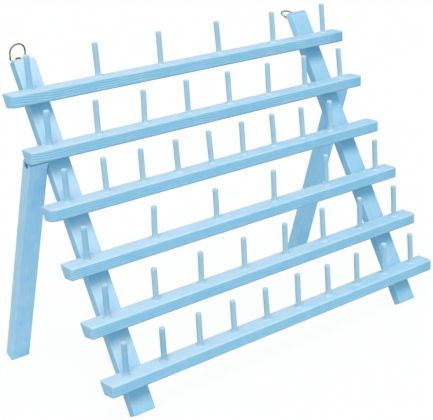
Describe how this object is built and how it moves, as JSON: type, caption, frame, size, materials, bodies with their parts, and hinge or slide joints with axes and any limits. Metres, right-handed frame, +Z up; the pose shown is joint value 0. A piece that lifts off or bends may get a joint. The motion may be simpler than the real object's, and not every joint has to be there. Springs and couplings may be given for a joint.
{
  "type": "thread rack",
  "caption": "Leaning pale blue wooden rack with rows of pegs for thread spools, folding rear legs and two brass hanging rings.",
  "frame": {"origin": "middle of the overall box, on the surface the rack stands on", "axes": "+X along the rails to the right, +Y from the pegs' side to the back, +Z up"},
  "size_m": [0.3986, 0.2164, 0.3214],
  "materials": {
    "blue_painted_wood": "pale sky blue paint, satin, fine saw marks showing through",
    "aged_brass": "dull aged brass",
    "screw_steel": "plain bright steel"
  },
  "bodies": {
    "board": {"upright_left": "blue_painted_wood", "upright_right": "blue_painted_wood", "rail_1": "blue_painted_wood", "rail_2": "blue_painted_wood", "rail_3": "blue_painted_wood", "rail_4": "blue_painted_wood", "rail_5": "blue_painted_wood", "rail_6": "blue_painted_wood", "peg_2_1": "blue_painted_wood", "peg_2_2": "blue_painted_wood", "peg_2_3": "blue_painted_wood", "peg_2_4": "blue_painted_wood", "peg_2_5": "blue_painted_wood", "peg_2_6": "blue_painted_wood", "peg_2_7": "blue_painted_wood", "peg_2_8": "blue_painted_wood", "peg_3_1": "blue_painted_wood", "peg_3_2": "blue_painted_wood", "peg_3_3": "blue_painted_wood", "peg_3_4": "blue_painted_wood", "peg_3_5": "blue_painted_wood", "peg_3_6": "blue_painted_wood", "peg_3_7": "blue_painted_wood", "peg_3_8": "blue_painted_wood", "peg_3_9": "blue_painted_wood", "peg_4_1": "blue_painted_wood", "peg_4_2": "blue_painted_wood", "peg_4_3": "blue_painted_wood", "peg_4_4": "blue_painted_wood", "peg_4_5": "blue_painted_wood", "peg_4_6": "blue_painted_wood", "peg_5_1": "blue_painted_wood", "peg_5_2": "blue_painted_wood", "peg_5_3": "blue_painted_wood", "peg_5_4": "blue_painted_wood", "peg_5_5": "blue_painted_wood", "peg_5_6": "blue_painted_wood", "peg_5_7": "blue_painted_wood", "peg_5_8": "blue_painted_wood", "peg_6_1": "blue_painted_wood", "peg_6_2": "blue_painted_wood", "peg_6_3": "blue_painted_wood", "peg_6_4": "blue_painted_wood", "peg_6_5": "blue_painted_wood", "peg_6_6": "blue_painted_wood", "peg_6_7": "blue_painted_wood", "peg_6_8": "blue_painted_wood", "peg_6_9": "blue_painted_wood", "peg_6_10": "blue_painted_wood", "hanger_strap_left": "aged_brass", "hanger_strap_right": "aged_brass", "strap_screw_left": "screw_steel", "strap_screw_right": "screw_steel"},
    "leg_left": {"rear_leg_left": "blue_painted_wood", "pivot_screw_left": "screw_steel"},
    "leg_right": {"rear_leg_right": "blue_painted_wood", "pivot_screw_right": "screw_steel"},
    "ring_left": {"hanger_ring_left": "aged_brass"},
    "ring_right": {"hanger_ring_right": "aged_brass"}
  },
  "joints": [
    {"name": "leg_left_fold", "type": "hinge", "parent": "board", "child": "leg_left", "pos_m": [-0.17925, 0.00101, 0.2167], "axis": [1, 0, 0], "range_deg": [-50.4, 0]},
    {"name": "leg_right_fold", "type": "hinge", "parent": "board", "child": "leg_right", "pos_m": [0.17435, 0.00101, 0.2167], "axis": [1, 0, 0], "range_deg": [-50.4, 0]},
    {"name": "ring_left_swing", "type": "hinge", "parent": "board", "child": "ring_left", "pos_m": [-0.16833, 0.05056, 0.30626], "axis": [1, 0, 0], "range_deg": [-226, 60]},
    {"name": "ring_right_swing", "type": "hinge", "parent": "board", "child": "ring_right", "pos_m": [0.16342, 0.04732, 0.29938], "axis": [1, 0, 0], "range_deg": [-143, 61]}
  ]
}
